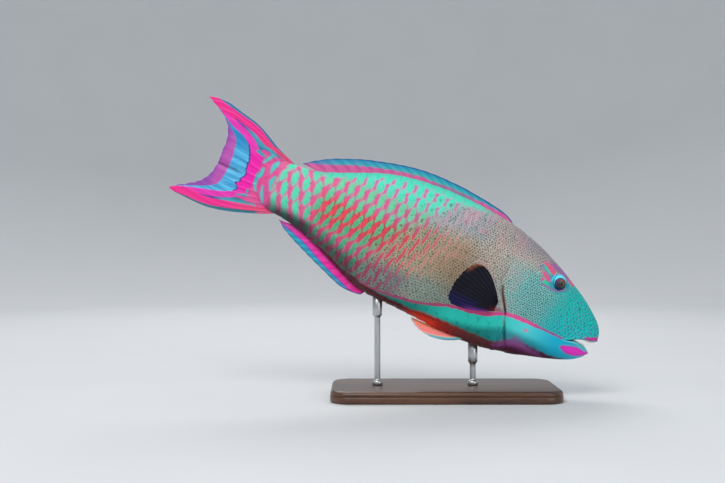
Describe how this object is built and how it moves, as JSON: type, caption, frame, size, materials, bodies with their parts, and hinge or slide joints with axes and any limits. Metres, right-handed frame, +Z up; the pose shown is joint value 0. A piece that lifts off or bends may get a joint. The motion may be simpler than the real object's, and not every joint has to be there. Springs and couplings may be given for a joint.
{
  "type": "parrotfish model",
  "caption": "Life-size still model of a bicolour parrotfish swimming head down with its beak open, held over a flat wooden base by short steel rods.",
  "frame": {"origin": "the middle of the underside of the stand's base, which lies on the surface the model stands on", "axes": "+X the way the fish heads, +Y to the fish's left, +Z up; the fish is pitched head down by 24.2 degrees about Y"},
  "size_m": [0.5735, 0.1782, 0.4008],
  "materials": {
    "skin": "wet satin, scaled",
    "beak": "satin",
    "fin_blue": "satin, ribbed",
    "fin_pink": "satin, ribbed",
    "fin_black": "satin, ribbed",
    "fin_orange": "satin, ribbed",
    "eye": "glossy",
    "stand_wood": "satin, dark stained",
    "stand_steel": "brushed"
  },
  "bodies": {
    "root": {"head": "skin", "lower_jaw": "skin", "trunk": "skin", "tail_stalk": "skin", "beak_upper": "beak", "beak_lower": "beak", "dorsal_fin": "fin_blue", "anal_fin": "fin_pink", "tail_fin_upper": "fin_pink", "tail_fin_lower": "fin_pink", "pectoral_fin_left": "fin_black", "pectoral_fin_right": "fin_black", "pelvic_fin_left": "fin_orange", "pelvic_fin_right": "fin_orange", "eye_left": "eye", "eye_right": "eye", "stand_base": "stand_wood", "stand_rod_front": "stand_steel", "stand_rod_rear": "stand_steel"}
  },
  "joints": []
}
